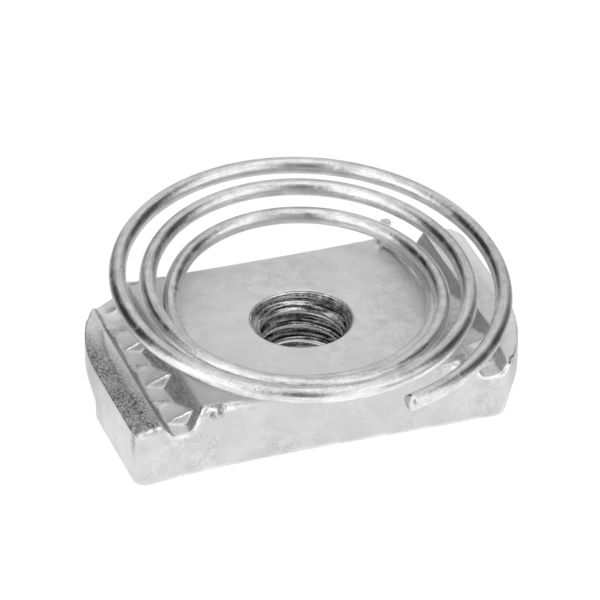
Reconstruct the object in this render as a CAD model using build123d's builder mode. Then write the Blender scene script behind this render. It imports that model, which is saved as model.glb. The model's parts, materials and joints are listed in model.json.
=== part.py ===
from build123d import *
import os
from math import atan2, cos, degrees, hypot, pi, radians, sin

# Strut spring nut: a serrated channel nut with a flat spiral spring on its toothed face.
# Millimetres. X runs along the nut, +Z is the toothed side, and the origin is the
# middle of the tapped hole.

# ---- nut blank ----
length = 35.0
waist_width = 19.9          # across the long sides at the middle
flare = 0.45                # each long side swells this much towards its two corners
flare_run = 3.3             # the last of a long side, where most of the swelling is
early_flare = 0.135         # what it has swollen by before that
thickness = 6.0
sharp_corner = 1.1          # plan radius of the two square corners
trimmed_corner = 1.6        # plan radius where a long side meets the end circle
top_edge = 0.75             # rounding of the sheared upper rim
bottom_edge = 0.4

# ---- tapped hole, 5/16 in - 18 ----
bore_radius = 3.97          # wall at the thread's major diameter
mouth_flare = 0.26          # the two mouths open by this much in radius
mouth_depth = 0.45

# ---- clamping grooves ----
left_strip = 2.3            # width of the lowered strip between the left groove and its end
right_strip = 3.2
outer_lean = 0.95           # how far the outer wall slopes over its depth
groove_floor = 1.5          # width of the flat floor
inner_lean = 1.1            # how far the inner wall slopes over its depth
groove_depth = 1.9
land_roll = 0.3             # width of the land's rounded edge above the inner wall
land_roll_depth = 0.475
shoulder_drop = 0.55        # outer strip below the land, at the groove
strip_fall = 0.05           # what the strip falls from there to where the end rolls off
end_roll = 1.6              # length of the rounded roll round each end
end_roll_drop = 0.5         # what the roll loses in height
end_roll_bow = 0.1          # how far the roll stands out from a straight slope
end_relief = 0.6            # how far the round half of an end leans in at its foot
relief_top = -0.5           # height at which that lean starts

# ---- teeth ----
tooth_pitch = 5.5
left_tooth_margin = 1.35    # first ridge of the left groove to the long side at the waist
right_tooth_margin = 0.95
tooth_face = 0.45           # run of the steep face
tooth_back = 4.6            # run of the long back slope
tooth_skew = 0.45           # a ridge's low tip lies this far behind its top
inner_ridge_drop = 0.4      # ridge of an inner tooth below the land
outer_ridge_drop = 0.9
tip_height = 0.12
tip_face = 0.1
tip_back = 3.2
root_depth = 0.15           # how far a tooth is rooted below the floor

# ---- spring wire ----
wire_radius = 0.7
seat_gap = 0.06

# ---- staked lug at one corner of the land ----
lug_width = 0.6
lug_inset = 0.25            # middle of the lug to the land's edge
lug_edge_gap = 0.35         # from the lug's back to the long side
lug_foot = 1.0
lug_root = 0.35             # how deep the lug's foot stands in the land
lug_tip = 0.5               # thickness of the curled tip
lug_hook = 0.6              # how far the tip leans over the wire's end
hook_gap = 0.06             # wire's top to the tip's underside
lug_shoulder = 0.35         # how far the back's curve comes forward
shoulder_below_peak = 0.22
throat = 0.1                # hollow of the lug's front, under the tip

# ---- spring coils, seen from above and counted from the free end inwards ----
free_angle = -80.5          # degrees, where the free end lies
whole_turns = 3             # full turns; the last part of a turn ends at the lug
coil_spread = 6.35          # how far the free end stands outside the seated coil
radial_pitch = 3.175        # shrink of the first turn
pitch_ease = 0.315          # how much that lessens, per turn
oval = 0.33                 # the coils are this much longer across the nut
start_height = 3.31         # centre line above the land at the free end, at mid-nut
height_rise = 0.65
height_fall = 0.52
coil_lean = 0.081           # rise of the coils per millimetre towards the back
seat_from = 2.56            # turns at which the wire starts down to the land
seat_run = 0.28
tail_run = 0.19             # last part of a turn, which opens out to the lug
tail_aside = 0.35           # wire's end to the middle of the lug, along the nut
tail_short = 0.55           # wire's end to the lug's foot, across the nut
points_per_turn = 16

tool_room = 2.0             # how far a cutter stands clear of the blank
round_end_arc = 60          # degrees of the end's circle that its cutters sweep

half_length = length / 2
half_waist = waist_width / 2
half_flared = half_waist + flare
top = thickness / 2
bottom = -thickness / 2
mouth_radius = bore_radius + mouth_flare
clockwise = Axis((0, 0, 0), (0, 0, -1))

land_floor = top - groove_depth
groove_width = outer_lean + groove_floor + inner_lean
left_land_edge = half_length - left_strip - groove_width
right_land_edge = half_length - right_strip - groove_width

lug_x = right_land_edge - lug_inset
lug_back = half_waist - lug_edge_gap
lug_front = lug_back - lug_foot
lug_peak = top + seat_gap + 2 * wire_radius + hook_gap + lug_tip

spring_seat = top + seat_gap + wire_radius
seat_radius = left_land_edge - land_roll - wire_radius
start_radius = seat_radius + coil_spread
tail_x = lug_x - tail_aside
tail_y = lug_front - tail_short
tail_angle = degrees(atan2(tail_y, tail_x))
spring_turns = whole_turns + (tail_angle - free_angle) / 360
tail_flare = hypot(tail_x, tail_y) - seat_radius


def smooth(value):
    """0 below 0, 1 above 1, and an S between."""
    value = min(max(value, 0.0), 1.0)
    return value * value * (3 - 2 * value)


def tail_share(turn):
    """0 up to the tail, then growing ever faster to 1 at the wire's end."""
    value = max(turn - (spring_turns - tail_run), 0.0) / tail_run
    return value * value * (3 - value) / 2


def wire_point(turn):
    """Centre line of the wire, counted in turns from the free end inwards."""
    angle = radians(free_angle) + 2 * pi * turn
    seated = smooth((turn - seat_from) / seat_run)
    radius = start_radius - radial_pitch * turn + pitch_ease * turn * turn
    radius -= oval * cos(2 * angle)
    radius += (seat_radius - radius) * seated
    radius += tail_flare * tail_share(turn)
    x, y = radius * cos(angle), radius * sin(angle)
    free_z = top + start_height + height_rise * turn - height_fall * turn * turn + coil_lean * y
    return x, y, free_z + (spring_seat - free_z) * seated


def plan_outline():
    """One long side, one end, then the same turned by half a turn."""
    reach = (half_length**2 - half_flared**2) ** 0.5
    for turned in (1, -1):
        corner = (-turned * half_length, -turned * half_flared)
        bend = (-turned * (half_length - flare_run), -turned * (half_waist + early_flare))
        middle = (0, -turned * half_waist)
        far = (turned * reach, -turned * half_flared)
        Spline(corner, bend, middle, far)
        RadiusArc(far, (turned * half_length, 0), -half_length)
        Line((turned * half_length, 0), (turned * half_length, turned * half_flared))


def groove_profile(side, land_edge):
    """Section of one groove and of the lowered strip outside it, open upwards."""
    sky = top + tool_room
    outside = half_length + tool_room
    wall_foot = land_edge + inner_lean
    floor_end = wall_foot + groove_floor
    shoulder = floor_end + outer_lean
    land = (side * (land_edge - land_roll), top)
    wall_top = (side * (land_edge + inner_lean * land_roll_depth / groove_depth), top - land_roll_depth)
    TangentArc(land, wall_top, tangent=(side, 0))
    Polyline(
        wall_top,
        (side * wall_foot, land_floor),
        (side * floor_end, land_floor),
        (side * shoulder, top - shoulder_drop),
        (side * (half_length - end_roll), top - shoulder_drop - strip_fall),
        (side * outside, top - shoulder_drop - strip_fall),
        (side * outside, sky),
        (land[0], sky),
        land,
    )


def end_roll_profile(side):
    """Section of what the rolled-over end leaves off the strip."""
    strip = top - shoulder_drop - strip_fall
    start = (side * (half_length - end_roll), strip)
    end = (side * half_length, strip - end_roll_drop)
    outside = side * (half_length + tool_room)
    SagittaArc(start, end, -side * end_roll_bow)
    Polyline(end, (outside, end[1]), (outside, strip + tool_room), (start[0], strip + tool_room), start)


def tooth(side, wall_x, tip_x, ridge, ridge_z):
    """A buttress tooth lofted from its full section at the wall to its low tip."""
    root = land_floor - root_depth
    sections = (
        (wall_x, ridge, ridge_z, tooth_face, tooth_back),
        (tip_x, ridge + tooth_skew, land_floor + tip_height, tip_face, tip_back),
    )
    faces = []
    for x, y, z, face, back in sections:
        with BuildSketch(Plane.YZ.offset(side * x)) as section:
            with BuildLine():
                Polyline((y - face, root), (y, z), (y + back, root), close=True)
            make_face()
        faces.append(section.sketch)
    loft(faces, ruled=True)


def lug_profile():
    """Section of the lug: a root in the land and a tip curled over the wire's end."""
    root = top - lug_root
    middle = top + wire_radius
    nose = lug_front - lug_hook
    brow = (nose + lug_tip / 2, lug_peak)
    chin = (nose, lug_peak - lug_tip / 2)
    neck = (lug_front + throat, middle)
    Polyline(neck, (lug_front, root), (lug_back, root), (lug_back, middle))
    ThreePointArc((lug_back, middle), (lug_back - lug_shoulder, lug_peak - shoulder_below_peak), brow)
    Line(brow, chin)
    ThreePointArc(chin, (lug_front, lug_peak - lug_tip), neck)


with BuildPart() as nut_body:
    with BuildSketch(Plane.XY.offset(bottom)):
        with BuildLine():
            plan_outline()
        make_face()
    extrude(amount=thickness)
    corners = nut_body.edges().filter_by(Axis.Z).filter_by(lambda edge: abs(edge.center().Y) > half_waist / 2)
    fillet(corners.filter_by(lambda edge: edge.center().X * edge.center().Y > 0), sharp_corner)
    fillet(corners.filter_by(lambda edge: edge.center().X * edge.center().Y < 0), trimmed_corner)
    fillet(nut_body.faces().sort_by(Axis.Z)[-1].outer_wire().edges(), top_edge)
    fillet(nut_body.faces().sort_by(Axis.Z)[0].outer_wire().edges(), bottom_edge)
    blank = nut_body.part

    for side, land_edge in ((-1, left_land_edge), (1, right_land_edge)):
        with BuildSketch(Plane.XZ.offset(-waist_width)):
            with BuildLine():
                groove_profile(side, land_edge)
            make_face()
        extrude(amount=2 * waist_width, mode=Mode.SUBTRACT)

    for side, land_edge, margin in (
        (-1, left_land_edge, left_tooth_margin),
        (1, right_land_edge, right_tooth_margin),
    ):
        wall_foot = land_edge + inner_lean
        floor_end = wall_foot + groove_floor
        for index in range(int((waist_width - margin) / tooth_pitch) + 1):
            ridge = margin - half_waist + index * tooth_pitch
            tooth(side, land_edge, floor_end, ridge, top - inner_ridge_drop)
            if index > 0:
                between = ridge - tooth_pitch / 2
                tooth(side, floor_end + outer_lean, wall_foot, between, top - outer_ridge_drop)

    for side in (-1, 1):
        with BuildSketch(Plane.XZ) as roll:
            with BuildLine():
                end_roll_profile(side)
            make_face()
        extrude(roll.sketch, amount=-side * waist_width, mode=Mode.SUBTRACT)
        revolve(roll.sketch, axis=clockwise, revolution_arc=round_end_arc, mode=Mode.SUBTRACT)
        with BuildSketch(Plane.XZ):
            with BuildLine():
                Polyline(
                    (side * half_length, relief_top),
                    (side * (half_length - end_relief), bottom),
                    (side * (half_length + tool_room), bottom),
                    (side * (half_length + tool_room), relief_top),
                    close=True,
                )
            make_face()
        revolve(axis=clockwise, revolution_arc=round_end_arc, mode=Mode.SUBTRACT)
    add(blank, mode=Mode.INTERSECT)

    with BuildSketch(Plane.XZ):
        with BuildLine():
            Polyline(
                (0, bottom),
                (mouth_radius, bottom),
                (bore_radius, bottom + mouth_depth),
                (bore_radius, top - mouth_depth),
                (mouth_radius, top),
                (0, top),
                close=True,
            )
        make_face()
    revolve(axis=Axis.Z, mode=Mode.SUBTRACT)

    with BuildSketch(Plane.YZ.offset(lug_x - lug_width / 2)):
        with BuildLine():
            lug_profile()
        make_face()
    extrude(amount=lug_width)

with BuildPart() as coil_spring:
    with BuildLine() as wire_path:
        steps = round(spring_turns * points_per_turn)
        Spline(*[wire_point(spring_turns * step / steps) for step in range(steps + 1)])
    with BuildSketch(Plane(origin=wire_path.line @ 0, z_dir=wire_path.line % 0)):
        Circle(wire_radius)
    sweep(is_frenet=True)

nut_body.part.label = "nut_body"
coil_spring.part.label = "coil_spring"
os.makedirs("parts", exist_ok=True)
export_step(nut_body.part, "parts/nut_body.step")
export_step(coil_spring.part, "parts/coil_spring.step")
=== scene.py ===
# %% [markdown]
# # A strut spring nut
# The object is two pieces: a thick plated nut with toothed grooves and a tapped hole, and a
# flat spiral of round wire that is staked to it. Their sizes are settled in the CAD frame, so
# this script only gives them their true skin: worn edges, dents, a cut thread, and plating.

# %% load the frame
import json
import math
import bmesh
import bpy
import numpy as np
from mathutils import Matrix, Vector, noise


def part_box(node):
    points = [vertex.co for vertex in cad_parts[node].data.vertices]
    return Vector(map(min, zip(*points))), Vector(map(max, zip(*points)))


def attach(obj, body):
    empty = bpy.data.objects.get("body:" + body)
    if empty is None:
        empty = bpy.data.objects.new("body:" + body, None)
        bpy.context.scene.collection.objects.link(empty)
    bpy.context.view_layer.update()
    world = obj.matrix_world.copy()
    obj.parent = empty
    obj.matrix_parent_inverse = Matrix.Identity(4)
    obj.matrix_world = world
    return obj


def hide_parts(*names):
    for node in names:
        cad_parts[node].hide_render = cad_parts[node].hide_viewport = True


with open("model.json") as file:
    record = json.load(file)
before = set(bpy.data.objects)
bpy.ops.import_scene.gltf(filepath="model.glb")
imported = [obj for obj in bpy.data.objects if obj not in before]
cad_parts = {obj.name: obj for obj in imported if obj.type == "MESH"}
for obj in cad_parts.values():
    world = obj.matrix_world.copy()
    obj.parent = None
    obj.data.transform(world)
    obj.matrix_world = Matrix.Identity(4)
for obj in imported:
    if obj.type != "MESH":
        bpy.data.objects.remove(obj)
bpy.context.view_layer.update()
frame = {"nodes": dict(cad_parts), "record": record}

# %% [markdown]
# ## Working in millimetres
# Blender's unit is the metre, and this nut is 35 mm long. Shapes are easier to think about in
# millimetres, so each mesh is built at that size and shrunk by a thousand as it is finished.
# Every finished piece sits at the origin, rides on the nut's one body, and carries its material.

# %% sizes and the finishing helper
MM = 0.001
NUT_LOW, NUT_HIGH = (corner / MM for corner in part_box("nut_body"))
BOTTOM = NUT_LOW.z
TOP = -BOTTOM                       # the land's plane; the lug stands above it


def finish_piece(name, mesh, material, slot, *nodes):
    """Shrinks a mesh made in millimetres, and makes it a piece that stands for CAD nodes."""
    mesh.transform(Matrix.Scale(MM, 4))
    mesh.materials.clear()
    mesh.materials.append(material)
    mesh.polygons.foreach_set("use_smooth", [True] * len(mesh.polygons))
    piece = bpy.data.objects.new(name, mesh)
    bpy.context.scene.collection.objects.link(piece)
    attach(piece, "root")
    if nodes:
        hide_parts(*nodes)
    triangles = sum(len(face.vertices) - 2 for face in mesh.polygons)
    print(name, "has", triangles, "triangles")


print("nut in millimetres", NUT_LOW, NUT_HIGH)

# %% [markdown]
# ## The camera
# The nut is seen from its front left corner, from 33 degrees above the floor, with a long lens
# from 0.44 m. A long lens keeps the coils' ellipses almost parallel. The lens shift moves the
# picture without turning the camera, so the nut sits a little below the middle.

# %% camera
AZIMUTH, ELEVATION = math.radians(-19.7), math.radians(33.0)
CAMERA_DISTANCE = 0.442
FRAME_WIDTH = 0.04839               # what the picture takes in, at the tapped hole
TO_RIGHT = (math.cos(AZIMUTH), math.sin(AZIMUTH), 0)    # level directions in the picture
TO_BACK = (-math.sin(AZIMUTH), math.cos(AZIMUTH), 0)

towards_camera = Vector((
    math.sin(AZIMUTH) * math.cos(ELEVATION),
    -math.cos(AZIMUTH) * math.cos(ELEVATION),
    math.sin(ELEVATION),
))
aim = Vector((0, 0, TOP * MM))
camera_data = bpy.data.cameras.new("camera")
camera_data.sensor_width = 36
camera_data.lens = camera_data.sensor_width * CAMERA_DISTANCE / FRAME_WIDTH
camera_data.shift_x = -0.0022
camera_data.shift_y = 0.0305
camera_data.clip_start = 0.02
camera_data.clip_end = 20
camera = bpy.data.objects.new("camera", camera_data)
camera.location = aim + towards_camera * CAMERA_DISTANCE
camera.rotation_euler = (-towards_camera).to_track_quat("-Z", "Y").to_euler()
bpy.context.scene.collection.objects.link(camera)
bpy.context.scene.camera = camera
bpy.context.scene.view_settings.view_transform = "Standard"
print("lens", round(camera_data.lens, 1), "mm")

# %% [markdown]
# ## Nodes, written short
# Every material below is a small graph. These helpers add a node, set its inputs and link its
# sources in one line, which keeps the graph readable as a list of steps.

# %% node helpers


def add_node(tree, kind, settings=None, **inputs):
    """Adds a node. An input is a number, a colour, or a socket to link from."""
    node = tree.nodes.new(kind)
    for key, value in (settings or {}).items():
        setattr(node, key, value)
    for key, value in inputs.items():
        by_number = key[0] == "i" and key[1:].isdigit()
        socket = node.inputs[int(key[1:]) if by_number else key.replace("_", " ")]
        if isinstance(value, bpy.types.NodeSocket):
            tree.links.new(value, socket)
        else:
            socket.default_value = value
    return node


def math_node(tree, operation, *values):
    """One Math node; its values are numbers or sockets."""
    inputs = {f"i{index}": value for index, value in enumerate(values)}
    return add_node(tree, "ShaderNodeMath", {"operation": operation}, **inputs).outputs[0]


def times(tree, a, b):
    """a times b."""
    return math_node(tree, "MULTIPLY", a, b)


def plus(tree, a, b):
    """a and b added."""
    return math_node(tree, "ADD", a, b)


def off_middle(tree, value, size):
    """How far a 0 to 1 value is from its middle, scaled to a size."""
    return times(tree, math_node(tree, "SUBTRACT", value, 0.5), size)


def along(tree, vector, axis):
    """How much of a vector lies along an axis."""
    node = add_node(tree, "ShaderNodeVectorMath", {"operation": "DOT_PRODUCT"}, i0=vector, i1=axis)
    return node.outputs["Value"]


def stored(tree, name):
    """A number stored on the mesh's points."""
    return add_node(tree, "ShaderNodeAttribute", {"attribute_name": name}).outputs["Fac"]


def ramp_between(tree, value, low, high):
    """0 where value is under low, 1 where it is over high, and smooth between."""
    node = add_node(tree, "ShaderNodeMapRange", {"interpolation_type": "SMOOTHSTEP"}, Value=value)
    node.inputs["From Min"].default_value = low
    node.inputs["From Max"].default_value = high
    return node.outputs["Result"]


def mix_values(tree, share, a, b):
    """a where share is 0, b where share is 1."""
    node = add_node(tree, "ShaderNodeMix", {"data_type": "FLOAT"}, i0=share, i2=a, i3=b)
    return node.outputs[0]


def noise_at(tree, vector, scale, detail=3.0, roughness=0.5, distortion=0.0):
    """A noise value, 0 to 1, whose grains are about 1/scale of a metre."""
    node = add_node(
        tree, "ShaderNodeTexNoise", None,
        Vector=vector, Scale=scale, Detail=detail, Roughness=roughness, Distortion=distortion,
    )
    return node.outputs["Fac"]


def new_group(name, inputs, outputs):
    """An empty shader node group with number inputs and the named outputs."""
    group = bpy.data.node_groups.new(name, "ShaderNodeTree")
    for label, default in inputs.items():
        socket = group.interface.new_socket(label, in_out="INPUT", socket_type="NodeSocketFloat")
        socket.default_value = default
    for label in outputs:
        group.interface.new_socket(label, in_out="OUTPUT", socket_type="NodeSocketFloat")
    return group, group.nodes.new("NodeGroupInput"), group.nodes.new("NodeGroupOutput")


def use_group(tree, group, **inputs):
    """Places a group in a material with its own values."""
    node = add_node(tree, "ShaderNodeGroup", {"node_tree": group}, **inputs)
    return node.outputs


# %% [markdown]
# ## Zinc plating
# Bright zinc is a thin, slightly cloudy skin over rolled steel. Three things show: a fine
# grain that breaks up reflections, soft clouds where the bath worked unevenly, and wider
# patches where parts rubbed in the barrel. Each is one noise at its own scale. They are built
# once, as a group, and the nut, the thread and the wire use them with their own values.

# %% plating group
plating, plating_in, plating_out = new_group(
    "zinc_plating",
    {"Grain size mm": 0.25, "Cloud size mm": 3.0},
    ("Grain", "Fine", "Clouds", "Patches"),
)
coordinates = add_node(plating, "ShaderNodeTexCoord").outputs["Object"]
grain_scale = math_node(plating, "DIVIDE", 1000.0, plating_in.outputs["Grain size mm"])
cloud_scale = math_node(plating, "DIVIDE", 1000.0, plating_in.outputs["Cloud size mm"])
fine = noise_at(plating, coordinates, grain_scale, detail=4.0, roughness=0.62)
coarse = noise_at(plating, coordinates, times(plating, grain_scale, 0.22), detail=2.0)
grain = plus(plating, times(plating, fine, 0.6), times(plating, coarse, 0.4))
clouds = noise_at(plating, coordinates, cloud_scale, detail=3.0, distortion=0.4)
patches = noise_at(plating, coordinates, times(plating, cloud_scale, 0.55), detail=2.0, distortion=0.6)
for label, result in (
    ("Grain", grain), ("Fine", fine),
    ("Clouds", ramp_between(plating, clouds, 0.34, 0.66)),
    ("Patches", ramp_between(plating, patches, 0.50, 0.66)),
):
    plating.links.new(result, plating_out.inputs[label])
print("plating group", len(plating.nodes), "nodes")


def metal(name, metallic):
    """A material with a Principled shader set up as bare metal, and its tree."""
    material = bpy.data.materials.new(name)
    material.use_nodes = True
    shader = material.node_tree.nodes["Principled BSDF"]
    shader.inputs["Metallic"].default_value = metallic
    return material, material.node_tree, shader


def grey_mix(tree, share, dark, light):
    """A colour between two greys, each a number."""
    node = add_node(
        tree, "ShaderNodeMix", {"data_type": "RGBA"},
        i0=share, i6=(dark, dark, dark * 1.005, 1), i7=(light, light, light * 1.005, 1),
    )
    return node.outputs[2]


# %% [markdown]
# ## The nut's finish
# The nut is stamped and sheared, then plated in a barrel. Three numbers are stored on each
# point of its mesh. The first, named rim, is high where the skin bends sharply, on bruises and on
# wrinkle crests, and there the colour goes to white: a painted highlight. The second darkens the
# metal and coarsens its grain on the pressed faces, most on sloping ones and on the left, and it
# is painted shade in the bore, in dents, in the troughs of the rim's wrinkles and where the left
# end rolls over. The third makes the metal lighter where the press squeezed it smooth, and it is
# also a painted highlight on the teeth's front faces and painted light on the top's back right
# corner. The material reads all three as attributes, so they move with the shape and need no image.

# %% nut material
nut_steel, tree, shader = metal("plated_steel", 0.5)
effect = use_group(tree, plating, Grain_size_mm=0.2, Cloud_size_mm=2.6)
rim, wear_and_shade, burnish_and_light = (stored(tree, name) for name in ("rim", "wear_and_shade", "burnish_and_light"))
speckle = ramp_between(tree, effect["Grain"], 0.40, 0.60)
dark_speckle = mix_values(tree, ramp_between(tree, effect["Fine"], 0.42, 0.60), 1.0, 0.40)
clean = mix_values(tree, effect["Clouds"], 0.73, 0.79)
clean = plus(tree, clean, off_middle(tree, speckle, mix_values(tree, effect["Patches"], 0.03, 0.17)))
# Smooth pressed faces get lighter; on the teeth's front faces this is a painted highlight, and on the top's
# back right corner painted light.
clean = plus(tree, clean, times(tree, burnish_and_light, 0.22))
# Darkening towards 0.10: coarse worn grain, and painted shade in the bore, dents, wrinkle troughs and the
# left end's roll-over.
value = mix_values(tree, times(tree, wear_and_shade, dark_speckle), clean, 0.10)
# Sharp edges, bruises and wrinkle crests get a painted highlight: the colour goes to white.
value = mix_values(tree, rim, value, 1.0)
tree.links.new(grey_mix(tree, value, 0.0, 1.0), shader.inputs["Base Color"])
roughness = mix_values(tree, effect["Clouds"], 0.38, 0.31)
tree.links.new(mix_values(tree, rim, roughness, 0.18), shader.inputs["Roughness"])
tree.links.new(mix_values(tree, rim, 0.5, 1.0), shader.inputs["Metallic"])
depth = mix_values(tree, wear_and_shade, mix_values(tree, effect["Patches"], 0.5, 2.4), 3.5)
height = times(tree, effect["Grain"], depth)
bump = add_node(tree, "ShaderNodeBump", None, Height=height, Strength=0.7, Distance=0.00007)
tree.links.new(bump.outputs[0], shader.inputs["Normal"])
print("plated_steel", len(tree.nodes), "nodes")

# %% [markdown]
# ## The wire's finish
# Spring wire is pulled through a die, which leaves fine lines along it, and winding rubs it
# here and there. The lines follow the wire, so they are read from its own UV map: U runs along
# the wire and V round it. V is turned into a circle first, so that the lines meet with no seam.
# Fine dark specks gather along some stretches, where the plating is thin.

# %% wire material
LINES_ALONG, LINES_ROUND = 90.0, 2.2        # how often the drawn lines change each way
wire_steel, tree, shader = metal("spring_wire", 0.95)
effect = use_group(tree, plating, Grain_size_mm=0.09, Cloud_size_mm=1.4)
wire_map = add_node(tree, "ShaderNodeUVMap", {"uv_map": "along_round"}).outputs[0]
along_round = add_node(tree, "ShaderNodeSeparateXYZ", None, Vector=wire_map)
turn = times(tree, along_round.outputs["Y"], 2 * math.pi)
course = add_node(
    tree, "ShaderNodeCombineXYZ", None,
    X=times(tree, along_round.outputs["X"], LINES_ALONG),
    Y=times(tree, math_node(tree, "COSINE", turn), LINES_ROUND),
    Z=times(tree, math_node(tree, "SINE", turn), LINES_ROUND),
).outputs[0]
drawn = noise_at(tree, course, 1.6, detail=4.0, roughness=0.65)
value = plus(tree, mix_values(tree, effect["Clouds"], 0.74, 0.86), off_middle(tree, drawn, 0.5))
thin = ramp_between(tree, noise_at(tree, course, 0.35, detail=2.0), 0.45, 0.60)
specks = times(tree, ramp_between(tree, effect["Fine"], 0.56, 0.44), mix_values(tree, thin, 0.04, 0.24))
value = times(tree, value, math_node(tree, "SUBTRACT", 1.0, specks))
tree.links.new(grey_mix(tree, value, 0.0, 1.0), shader.inputs["Base Color"])
tree.links.new(mix_values(tree, effect["Clouds"], 0.14, 0.09), shader.inputs["Roughness"])
mottle = times(tree, effect["Grain"], mix_values(tree, effect["Patches"], 0.8, 1.7))
height = plus(tree, mottle, drawn)
bump = add_node(tree, "ShaderNodeBump", None, Height=height, Strength=0.7, Distance=0.00004)
tree.links.new(bump.outputs[0], shader.inputs["Normal"])
print("spring_wire", len(tree.nodes), "nodes")

# %% [markdown]
# ## The thread's finish
# A tap leaves rings of fine scratches round the hole. The rings depend only on the distance from
# the hole's axis and on the height, so a noise on those two numbers draws them. The thread's
# flanks are painted dark, from near black to pale grey along the rings: painted shade deep in the
# hole. The crests and the left side of the countersink get a painted highlight from a number that
# is stored on the thread's points.

# %% thread material
RING_SCALE = 6000.0                 # rings to a metre
thread_steel, tree, shader = metal("cut_thread", 0.9)
effect = use_group(tree, plating, Grain_size_mm=0.14, Cloud_size_mm=0.9)
thread_place = add_node(tree, "ShaderNodeTexCoord").outputs["Object"]
place = add_node(tree, "ShaderNodeSeparateXYZ", None, Vector=thread_place)
squares = [math_node(tree, "POWER", place.outputs[axis], 2.0) for axis in ("X", "Y")]
radius = math_node(tree, "SQRT", plus(tree, *squares))
across = add_node(tree, "ShaderNodeCombineXYZ", None, X=radius, Y=place.outputs["Z"]).outputs[0]
rings = noise_at(tree, across, RING_SCALE, detail=2.0)
rings = ramp_between(tree, plus(tree, rings, off_middle(tree, effect["Grain"], 0.5)), 0.40, 0.60)
# The flanks are painted dark, as shade deep in the hole; the crests and the countersink's left side get a
# painted highlight.
dull, bright = mix_values(tree, rings, 0.02, 0.85), mix_values(tree, rings, 0.50, 1.0)
value = mix_values(tree, stored(tree, "painted_highlight"), dull, bright)
tree.links.new(grey_mix(tree, value, 0.0, 1.0), shader.inputs["Base Color"])
tree.links.new(mix_values(tree, effect["Clouds"], 0.30, 0.22), shader.inputs["Roughness"])
height = plus(tree, times(tree, effect["Grain"], 0.5), rings)
bump = add_node(tree, "ShaderNodeBump", None, Height=height, Strength=0.8, Distance=0.00006)
tree.links.new(bump.outputs[0], shader.inputs["Normal"])
print("cut_thread", len(tree.nodes), "nodes")

# %% [markdown]
# ## The nut's skin
# The CAD solid has edges as sharp as a drawing. A real stamped edge is rounded, wavy and
# bruised. Beveling hundreds of triangulated edges would be fragile, so the CAD mesh is copied,
# merged, and remeshed as a fine even skin, like clay laid over the shape. Then the points can
# be moved freely: all are smoothed once, the sheared rims eight times more, and the crushed
# back corner thirty times. How sharply the skin still bends is kept as the "rim" number.

# %% nut skin
SKIN_CELL = 0.14                    # millimetres between points of the skin
SMOOTHING = 0.6                     # how far a point goes towards its neighbours' mean
BORE_EDGE = 5.0                     # the countersink's rim lies inside this radius


def merged_copy(node):
    """A bmesh of a CAD node in millimetres, its loose triangles joined at their corners."""
    shape = bmesh.new()
    shape.from_mesh(frame["nodes"][node].data)
    bmesh.ops.scale(shape, vec=(1 / MM, 1 / MM, 1 / MM), verts=shape.verts)
    bmesh.ops.remove_doubles(shape, verts=shape.verts, dist=0.0005)
    return shape


def even_skin(shape, name, cell):
    """Remeshes a closed bmesh with even square cells and gives the new mesh."""
    rough = bpy.data.meshes.new(name + "_rough")
    shape.to_mesh(rough)
    shape.free()
    carrier = bpy.data.objects.new(name + "_rough", rough)
    bpy.context.scene.collection.objects.link(carrier)
    remesh = carrier.modifiers.new("skin", "REMESH")
    remesh.mode = "VOXEL"
    remesh.voxel_size = cell
    remesh.adaptivity = 0
    graph = bpy.context.evaluated_depsgraph_get()
    skin = bpy.data.meshes.new_from_object(carrier.evaluated_get(graph))
    skin.name = name
    bpy.data.objects.remove(carrier)
    bpy.data.meshes.remove(rough)
    return skin


nut_shape = merged_copy("nut_body")
print("open edges in the copy", sum(1 for edge in nut_shape.edges if not edge.is_manifold))
nut_mesh = even_skin(nut_shape, "nut", SKIN_CELL)
points = np.zeros(len(nut_mesh.vertices) * 3)
nut_mesh.vertices.foreach_get("co", points)
points = points.reshape(-1, 3)
edges = np.zeros(len(nut_mesh.edges) * 2, int)
nut_mesh.edges.foreach_get("vertices", edges)
edges = edges.reshape(-1, 2)
neighbours = np.bincount(edges.ravel(), minlength=len(points))[:, None]
print("skin", len(points), "points", points.min(0), points.max(0))


def around(values):
    """The mean of each point's neighbours."""
    total = np.zeros_like(values)
    np.add.at(total, edges[:, 0], values[edges[:, 1]])
    np.add.at(total, edges[:, 1], values[edges[:, 0]])
    return total / neighbours


def normals_of(mesh, where):
    """Point normals of the mesh with its points moved to where."""
    mesh.vertices.foreach_set("co", where.ravel())
    mesh.update()
    normals = np.zeros(len(where) * 3)
    mesh.vertices.foreach_get("normal", normals)
    return normals.reshape(-1, 3)


def slope(values, start, width):
    """0 below start, 1 past start + width, and straight between."""
    return np.clip((values - start) / width, 0, 1)


points += SMOOTHING * (around(points) - points)
x, y, z = points.T
sheared_rim = slope(np.abs(y), 9.3, 0.4) * slope(z, 0.4, 0.4)
back_corner = slope(-x, 12.8, 0.5) * slope(y, 7.2, 0.8) * slope(z, 0, 0.4)
for passes, softened in ((8, np.maximum(sheared_rim, back_corner)), (22, back_corner)):
    for step in range(passes):
        points += SMOOTHING * softened[:, None] * (around(points) - points)
normals = normals_of(nut_mesh, points)
bend = -((around(points) - points) * normals).sum(1) / SKIN_CELL
for step in range(2):
    bend = 0.5 * bend + 0.5 * around(bend[:, None])[:, 0]
# Where the skin bends sharply it gets a painted highlight, except at the bore's rim.
rim_mask = slope(bend, 0.022, 0.05) * (np.hypot(points[:, 0], points[:, 1]) > BORE_EDGE)
print("rim share", round(float((rim_mask > 0.5).mean()), 3))
print("bend", np.percentile(bend, [1, 50, 90, 99]).round(3))

# %% [markdown]
# ## Where wear and painted shade go
# Masks between 0 and 1 say where each kind of wear, painted light and painted shade belongs.
# They come from a point's place and from which way it faces: the strips and groove walls lie
# below the land, and the outer rim is the top edge of the sheared sides. Where the left end
# rolls over, the surface is painted darkest, as shade.

# %% wear masks


def ramp(values, low, high):
    """0 below low, 1 above high, and an S between."""
    share = np.clip((values - low) / (high - low), 0, 1)
    return share * share * (3 - 2 * share)


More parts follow.
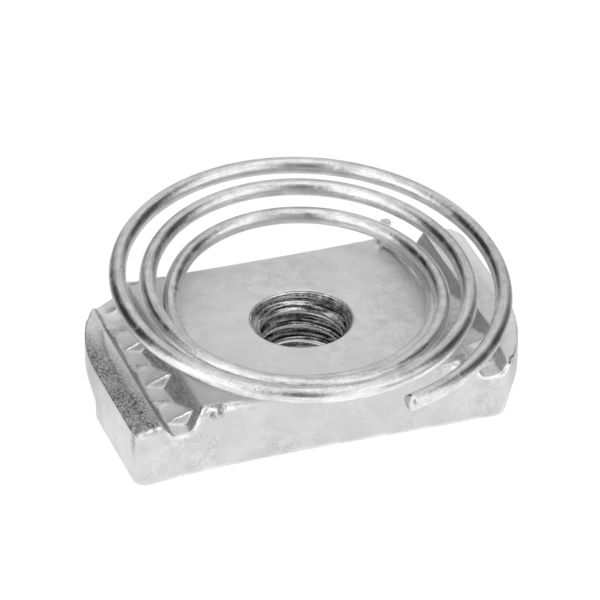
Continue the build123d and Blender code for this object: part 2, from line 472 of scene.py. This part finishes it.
faces_up = normals[:, 2]
LAND_END = 10.75                    # the land's nearer end; the grooves lie beyond it
pressed = ramp(np.abs(x), LAND_END, LAND_END + 0.4) * ramp(-z, 0.15 - TOP, 0.5 - TOP)
pressed *= ramp(faces_up, 0.15, 0.5)
front_tooth_faces = pressed * ramp(-normals[:, 1], 0.3, 0.6)     # the steep faces of the teeth
sloping = pressed * (1 - ramp(faces_up, 0.75, 0.95)) * (1 - front_tooth_faces)
# The left end's roll-over, which is painted shade.
left_roll = ramp(-x - 0.12 * y, 14.7, 17.2) * ramp(faces_up, 0.10, 0.40)
rim_mask *= 1 - 0.85 * ramp(-x, 14.6, 15.2)
outer_rim = ramp(np.abs(y), 9.1, 9.6) * ramp(z, TOP - 1.3, TOP - 0.7)
by_groove = np.exp(-(((np.abs(x) - 11.2) / 2.6) ** 2)) + np.exp(-(((x + 16.2) / 1.4) ** 2))
print("share pressed", round(float(pressed.mean()), 3), "and rolled over", round(float(left_roll.mean()), 3))

# %% [markdown]
# ## Hammering the edges
# Noise moves the points along their normals: in short wrinkles along the outer rim, where the
# grooves squeezed metal out, faintly on the faces, and not at all on the underside, which has
# to stay flat on the floor. The wrinkles' troughs by the grooves get painted shade, and their
# crests a painted highlight. A few single dents and bruises are then listed: a dent gets painted
# shade, and a bruise stands proud and gets a painted highlight. The three numbers that the
# finish reads are stored on the points at the end.

# %% wrinkled rims


def noise_field(where, size, octaves, seed):
    """Fractal noise, about -1 to 1, at each point; size is the width of its lumps."""
    shift = Vector((seed * 17.3, seed * -9.1, seed * 5.7))
    return np.array([noise.fractal(Vector(p) / size + shift, 1.0, 2.0, octaves) for p in where])


above_floor = slope(z, BOTTOM + 0.3, 0.8)
waves = noise_field(points, 0.7, 3, 1)
lumps = noise_field(points, 4.0, 2, 2)
move = waves * (0.15 * outer_rim * by_groove + 0.02 * rim_mask + 0.012 * pressed + 0.004)
move += lumps * 0.012
turning = outer_rim * ramp(faces_up, 0.12, 0.35) * (1 - ramp(faces_up, 0.85, 0.97))
# The wrinkles' crests by the grooves get a painted highlight.
wrinkle_highlight = np.clip(turning * by_groove * 1.3, 0, 1) * ramp(waves, -0.35, 0.05)
rim_mask = np.maximum(rim_mask, wrinkle_highlight)
# The troughs of the wrinkles by the grooves get painted shade.
dent_and_crease_shade = outer_rim * by_groove * ramp(-waves, 0.10, 0.45) * 0.9
for dent_x, dent_y, dent_z, width, tall, depth in (     # millimetres; a bruise's depth is negative
    (14.75, -9.7, 1.9, 0.30, 0.4, 0.30),
    (13.9, -10.1, 2.0, 0.30, 0.3, -0.12),
    (9.95, 8.8, 3.0, 0.28, 1.0, 0.10),
    (9.6, 7.8, 3.0, 0.45, 1.0, -0.06),
    (-17.35, -9.4, 1.2, 0.22, 1.1, 0.16),
    (-16.9, -10.0, 1.9, 0.40, 0.3, -0.10),
    (-14.6, -10.2, 2.1, 0.50, 0.3, 0.14),
):
    near = np.exp(-((x - dent_x) ** 2 + (y - dent_y) ** 2) / width**2 - ((z - dent_z) / tall) ** 2)
    move -= depth * near
    # A dent gets painted shade; a bruise gets a painted highlight.
    if depth > 0:
        dent_and_crease_shade = np.maximum(dent_and_crease_shade, near)
    else:
        rim_mask = np.maximum(rim_mask, 0.8 * near)
move *= 1 - ramp(np.hypot(x, y), 5.2, 4.4)
points += normals * (move * above_floor)[:, None]
points[z < BOTTOM + 0.03, 2] = BOTTOM
nut_mesh.vertices.foreach_set("co", points.ravel())

# The bore's wall is painted dark, as shade deep in the hole.
bore_shade = ramp(-np.hypot(x, y), -4.12, -4.02)
# Pressed faces darken a little, sloping ones more and most on the left; the left end's roll-over is painted
# shade.
darkening_share = 0.03 * pressed + np.where(x < 0, 0.75, 0.35) * sloping + left_roll
darkening_share *= 0.9 + 0.3 * noise_field(points, 1.6, 2, 3)
# One number for darker worn grain and for painted shade in the bore, dents, creases and on the roll-over.
wear_and_shade = np.clip(np.maximum(np.maximum(darkening_share, dent_and_crease_shade), bore_shade), 0, 1)
# Smooth pressed faces get lighter, the teeth's front faces most: a painted highlight there.
smooth_and_highlit = pressed * (1 - sloping) * (1 - left_roll) * (0.7 + 0.5 * front_tooth_faces)
# The top's back right corner gets painted light.
corner_light = 0.5 * ramp(x + y, 11.0, 15.0) * ramp(faces_up, 0.8, 0.95)
burnish_and_light = np.maximum(smooth_and_highlit, corner_light)
for name, values in (("rim", rim_mask), ("wear_and_shade", wear_and_shade), ("burnish_and_light", burnish_and_light)):
    layer = nut_mesh.attributes.new(name, "FLOAT", "POINT")
    layer.data.foreach_set("value", values.astype(np.float32))
    print(name, "mean", round(float(values.mean()), 3), "most", round(float(values.max()), 2))

# %% [markdown]
# ## One flat underside
# The underside is flat, so its thousands of small faces say nothing. They are dissolved into
# two large ones, a left and a right, because one face can't have the hole in its middle.

# %% flat underside
underside = bmesh.new()
underside.from_mesh(nut_mesh)
for side in (-1, 1):
    flat = [
        face for face in underside.faces
        if side * face.calc_center_median().x > 0 and all(vert.co.z < BOTTOM + 0.001 for vert in face.verts)
    ]
    bmesh.ops.dissolve_faces(underside, faces=flat, use_verts=True)
underside.to_mesh(nut_mesh)
underside.free()
finish_piece("nut", nut_mesh, nut_steel, "plated_steel", "nut_body")

# %% [markdown]
# ## The thread
# A tap cuts a spiral groove and leaves a spiral ridge. The ridge is one small profile that is
# spun about the hole's axis while it climbs, so bmesh's spin with a climb per step makes it.
# The countersink is then cut in: points nearer the axis than its cone are pushed out to it.

# %% thread ridge
PITCH = 1.411
WALL = frame["record"]["mounts"][0]["dims"]["r_mm"]
CREST = WALL - 0.70
MOUTH = WALL + 0.26                 # the countersink's radius at the face
CONE_SLOPE = 0.95                   # how fast the countersink narrows with depth
CONE_DEPTH = 0.9                    # how deep it reaches
FAR_WALL = math.radians(70.3)       # where on the wall the crest's height is known
CREST_HEIGHT = TOP - 1.48           # a crest's height there
STEPS = 72                          # steps in one turn
RIDGE_TURNS = 6                     # more than the hole holds; the ends are cut off

thread = bmesh.new()
flank = (
    (WALL + 0.05, 0.64), (WALL - 0.02, 0.60), (CREST + 0.28, 0.30), (CREST + 0.03, 0.17), (CREST, 0.11),
)
profile = [thread.verts.new((radius, 0, -height)) for radius, height in flank]
profile += [thread.verts.new((radius, 0, height)) for radius, height in reversed(flank)]
ridge_face = thread.faces.new(profile)
start = CREST_HEIGHT - PITCH * 4    # four pitches lower, which is under the nut
bmesh.ops.rotate(thread, cent=(0, 0, 0), matrix=Matrix.Rotation(FAR_WALL, 3, "Z"), verts=thread.verts)
bmesh.ops.translate(thread, vec=(0, 0, start), verts=thread.verts)
bmesh.ops.spin(
    thread, geom=[ridge_face], cent=(0, 0, 0), axis=(0, 0, 1), dvec=(0, 0, PITCH / STEPS),
    angle=2 * math.pi * RIDGE_TURNS, steps=STEPS * RIDGE_TURNS, use_merge=False, use_duplicate=False,
)
for side in (1, -1):
    cut = TOP - 0.06
    bmesh.ops.bisect_plane(
        thread, geom=thread.verts[:] + thread.edges[:] + thread.faces[:], plane_co=(0, 0, side * cut),
        plane_no=(0, 0, side), clear_outer=True,
    )
    for vert in thread.verts:
        radius = math.hypot(vert.co.x, vert.co.y)
        cone = MOUTH - (TOP - side * vert.co.z) * CONE_SLOPE
        if radius < cone:
            vert.co.x *= (cone + 0.02) / radius
            vert.co.y *= (cone + 0.02) / radius
highlight_layer = thread.verts.layers.float.new("painted_highlight")
for vert in thread.verts:
    radius = math.hypot(vert.co.x, vert.co.y)
    cone = MOUTH - (TOP - abs(vert.co.z)) * CONE_SLOPE
    on_cone = radius > cone - 0.001 and abs(vert.co.z) > TOP - CONE_DEPTH
    # The countersink's left side gets a painted highlight.
    lit_left_side = on_cone and vert.co.x < -0.75 * radius
    vert[highlight_layer] = 1.0 if lit_left_side or radius < CREST + 0.02 else 0.0
bmesh.ops.holes_fill(thread, edges=[edge for edge in thread.edges if edge.is_boundary], sides=0)
bmesh.ops.remove_doubles(thread, verts=thread.verts, dist=0.001)
bmesh.ops.recalc_face_normals(thread, faces=thread.faces)
thread_mesh = bpy.data.meshes.new("thread")
thread.to_mesh(thread_mesh)
thread.free()
finish_piece("thread", thread_mesh, thread_steel, "plated_steel")

# %% [markdown]
# ## The spring
# The spring is one wire bent into a flat spiral that leans up towards the back, dips to the
# land and ends under the nut's lug. It is a curve with a round bevel: the curve holds the
# course, the bevel gives the wire its thickness, and the result is kept as a mesh.

# %% spring course
WIRE = 0.7                          # the wire's radius
FREE_ANGLE = math.radians(-80.5)    # the bearing of the free end
SEAT_RADIUS = 10.65
START_RADIUS = SEAT_RADIUS + 6.35
TAIL_X, TAIL_Y = 10.15, 8.05        # the inner end, which lies under the lug's tip
TURNS = 3 + (math.atan2(TAIL_Y, TAIL_X) - FREE_ANGLE) / (2 * math.pi)
TAIL_TURN = 0.19                    # the part of a turn in which the tail leaves the circle
TAIL_FLARE = math.hypot(TAIL_X, TAIL_Y) - SEAT_RADIUS
SEAT_TURN, SEAT_BLEND = 2.56, 0.28  # where the wire comes down to the land, and over how much
SEAT_HEIGHT = TOP + 0.06 + WIRE
FREE_HEIGHT = TOP + 3.31
LEAN = 0.081                        # how much the coils climb towards the back


def smooth_share(value):
    """0 below 0, 1 above 1, and an S between."""
    value = min(max(value, 0.0), 1.0)
    return value * value * (3 - 2 * value)


def wire_point(turn):
    """The wire's middle, in millimetres, counted in turns from the free end inwards."""
    angle = FREE_ANGLE + 2 * math.pi * turn
    seated = smooth_share((turn - SEAT_TURN) / SEAT_BLEND)
    radius = START_RADIUS - 3.175 * turn + 0.315 * turn * turn - 0.33 * math.cos(2 * angle)
    radius += (SEAT_RADIUS - radius) * seated
    tail = max(turn - (TURNS - TAIL_TURN), 0.0) / TAIL_TURN
    radius += TAIL_FLARE * tail * tail * (3 - tail) / 2
    x, y = radius * math.cos(angle), radius * math.sin(angle)
    free = FREE_HEIGHT + 0.65 * turn - 0.52 * turn * turn + LEAN * y
    return x, y, free + (SEAT_HEIGHT - free) * seated


WIRE_POINTS = 900
wire_curve = bpy.data.curves.new("spring_course", "CURVE")
wire_curve.dimensions = "3D"
wire_curve.bevel_depth = WIRE
wire_curve.bevel_resolution = 8
wire_curve.use_fill_caps = True
spline = wire_curve.splines.new("POLY")
spline.points.add(WIRE_POINTS - 1)
for index, point in enumerate(spline.points):
    point.co = (*wire_point(TURNS * index / (WIRE_POINTS - 1)), 1)
holder = bpy.data.objects.new("spring_course", wire_curve)
bpy.context.scene.collection.objects.link(holder)
spring_mesh = bpy.data.meshes.new_from_object(holder.evaluated_get(bpy.context.evaluated_depsgraph_get()))
bpy.data.objects.remove(holder)
bpy.data.curves.remove(wire_curve)
print("wire UV maps", [layer.name for layer in spring_mesh.uv_layers], len(spring_mesh.vertices), "points")
spring_mesh.uv_layers[0].name = "along_round"

wire = bmesh.new()
wire.from_mesh(spring_mesh)
bmesh.ops.remove_doubles(wire, verts=wire.verts, dist=0.0005)
bmesh.ops.recalc_face_normals(wire, faces=wire.faces)
wire.to_mesh(spring_mesh)
wire.free()
finish_piece("spring", spring_mesh, wire_steel, "spring_wire", "coil_spring")

# %% [markdown]
# ## The floor
# The nut stands on a plain white floor. The camera sees it glow at close to full white, over
# a dull paint that still takes the nut's shadow. Mirror rays see it glow by place: bright in
# front of the nut, greyer behind, and dark far out to the back left and back right, because
# bright metal only looks like metal when it has something dark to reflect. All other rays see
# an ordinary pale paint, so the floor gives the nut no more light than a real one.

# %% floor
floor_shape = bmesh.new()
bmesh.ops.create_grid(floor_shape, x_segments=1, y_segments=1, size=1.5)
bmesh.ops.translate(floor_shape, vec=(0, 0, BOTTOM * MM - 0.00002), verts=floor_shape.verts)
floor_mesh = bpy.data.meshes.new("floor")
floor_shape.to_mesh(floor_mesh)
floor_shape.free()
floor = bpy.data.objects.new("floor", floor_mesh)
bpy.context.scene.collection.objects.link(floor)

floor_paint = bpy.data.materials.new("white_floor")
floor_paint.use_nodes = True
tree = floor_paint.node_tree
tree.nodes.clear()
path = add_node(tree, "ShaderNodeLightPath")
seen_white = math_node(tree, "MAXIMUM", path.outputs["Is Camera Ray"], path.outputs["Is Transmission Ray"])
floor_place = add_node(tree, "ShaderNodeTexCoord").outputs["Object"]
to_side = math_node(tree, "ABSOLUTE", along(tree, floor_place, TO_RIGHT))
behind = ramp_between(tree, along(tree, floor_place, TO_BACK), -0.010, 0.002)
far_side = times(tree, ramp_between(tree, to_side, 0.026, 0.050), behind)
in_metal = mix_values(tree, behind, 0.96, 0.56)
in_metal = mix_values(tree, far_side, in_metal, 0.06)
glow_level = mix_values(tree, seen_white, in_metal, 0.88)
paint = add_node(tree, "ShaderNodeBsdfDiffuse", None, Color=(0.2, 0.2, 0.2, 1))
glow = add_node(tree, "ShaderNodeEmission", None, Color=(1, 1, 1, 1), Strength=glow_level)
both = add_node(tree, "ShaderNodeAddShader", None, i0=paint.outputs[0], i1=glow.outputs[0])
plain = add_node(tree, "ShaderNodeBsdfDiffuse", None, Color=(0.85, 0.85, 0.85, 1))
seen = math_node(tree, "MAXIMUM", seen_white, path.outputs["Is Glossy Ray"])
choice = add_node(tree, "ShaderNodeMixShader", None, i0=seen, i1=plain.outputs[0], i2=both.outputs[0])
add_node(tree, "ShaderNodeOutputMaterial", None, Surface=choice.outputs[0])
floor_mesh.materials.append(floor_paint)

# %% [markdown]
# ## The room
# The room is described by how bright it is in each direction: a compass bearing that starts
# straight behind the nut, and a height above the horizon, both in degrees. That picture of the
# room is only for mirror rays. It has a bright soft box at the front left and one at the front
# right, a bright ceiling, and a greyer wall behind. Between them it is dark, and those gaps are
# what draws the black streaks along the wire. The boxes and the ceiling are brighter than
# white, and the mean over the whole upper half is 0.84. The camera sees the world as plain
# white, and the light that falls on dull surfaces is an even 0.75. Two soft lamps add the
# shading and the shadow; mirror rays don't see them, or they would show as white blobs.

# %% room
BOX_LEFT, BOX_RIGHT = 1.75, 1.45    # levels in a mirror, where 1 is white
CEILING, BACK_WALL, NEAR_CAMERA = 1.35, 0.80, 0.20
GAP_LEFT, GAP_RIGHT = 0.005, 0.05
ON_DULL = 0.75                      # the level in every direction for a dull surface

room = bpy.data.worlds.new("white_room")
bpy.context.scene.world = room
room.use_nodes = True
tree = room.node_tree
tree.nodes.clear()
direction = add_node(tree, "ShaderNodeTexCoord").outputs["Generated"]
rightwards = along(tree, direction, TO_RIGHT)
away = along(tree, direction, TO_BACK)
upwards = along(tree, direction, (0, 0, 1))
compass = math_node(tree, "DEGREES", math_node(tree, "ARCTAN2", rightwards, away))
turned = math_node(tree, "ABSOLUTE", compass)
height = math_node(tree, "DEGREES", math_node(tree, "ARCSINE", upwards))
on_right = ramp_between(tree, compass, -10.0, 10.0)

# Going round from straight behind: the wall, a gap, a soft box, and the side of the camera.
gap = mix_values(tree, on_right, GAP_LEFT, GAP_RIGHT)
box = mix_values(tree, on_right, BOX_LEFT, BOX_RIGHT)
gap_left, gap_right = ramp_between(tree, turned, 17.0, 46.0), ramp_between(tree, turned, 22.0, 54.0)
level = mix_values(tree, mix_values(tree, on_right, gap_left, gap_right), BACK_WALL, gap)
level = mix_values(tree, ramp_between(tree, turned, 84.0, 106.0), level, box)
level = mix_values(tree, ramp_between(tree, turned, 150.0, 170.0), level, NEAR_CAMERA)

# The ceiling starts higher up on the side of the camera.
high, high_near_camera = ramp_between(tree, height, 48.0, 70.0), ramp_between(tree, height, 52.0, 84.0)
overhead = mix_values(tree, ramp_between(tree, turned, 140.0, 165.0), high, high_near_camera)
in_mirror = mix_values(tree, overhead, level, CEILING)

path = add_node(tree, "ShaderNodeLightPath")
level = mix_values(tree, path.outputs["Is Glossy Ray"], ON_DULL, in_mirror)
seen = math_node(tree, "MAXIMUM", path.outputs["Is Camera Ray"], path.outputs["Is Transmission Ray"])
level = mix_values(tree, seen, level, 1.0)
background = add_node(tree, "ShaderNodeBackground", None, Strength=level)
add_node(tree, "ShaderNodeOutputWorld", None, Surface=background.outputs[0])
print("room", len(tree.nodes), "nodes")


def soft_lamp(name, place, size, power):
    """A square soft lamp that looks at the nut."""
    data = bpy.data.lights.new(name, "AREA")
    data.size = size
    data.energy = power
    lamp = bpy.data.objects.new(name, data)
    lamp.location = place
    lamp.rotation_euler = (aim - lamp.location).to_track_quat("-Z", "Y").to_euler()
    lamp.visible_glossy = False     # the metal mirrors the room, not the lamps
    bpy.context.scene.collection.objects.link(lamp)


soft_lamp("overhead_lamp", Vector((0.05, -0.1, 0.6)), 0.5, 1.2)
soft_lamp("front_lamp", Vector((-0.2, -0.6, 0.35)), 0.3, 0.3)
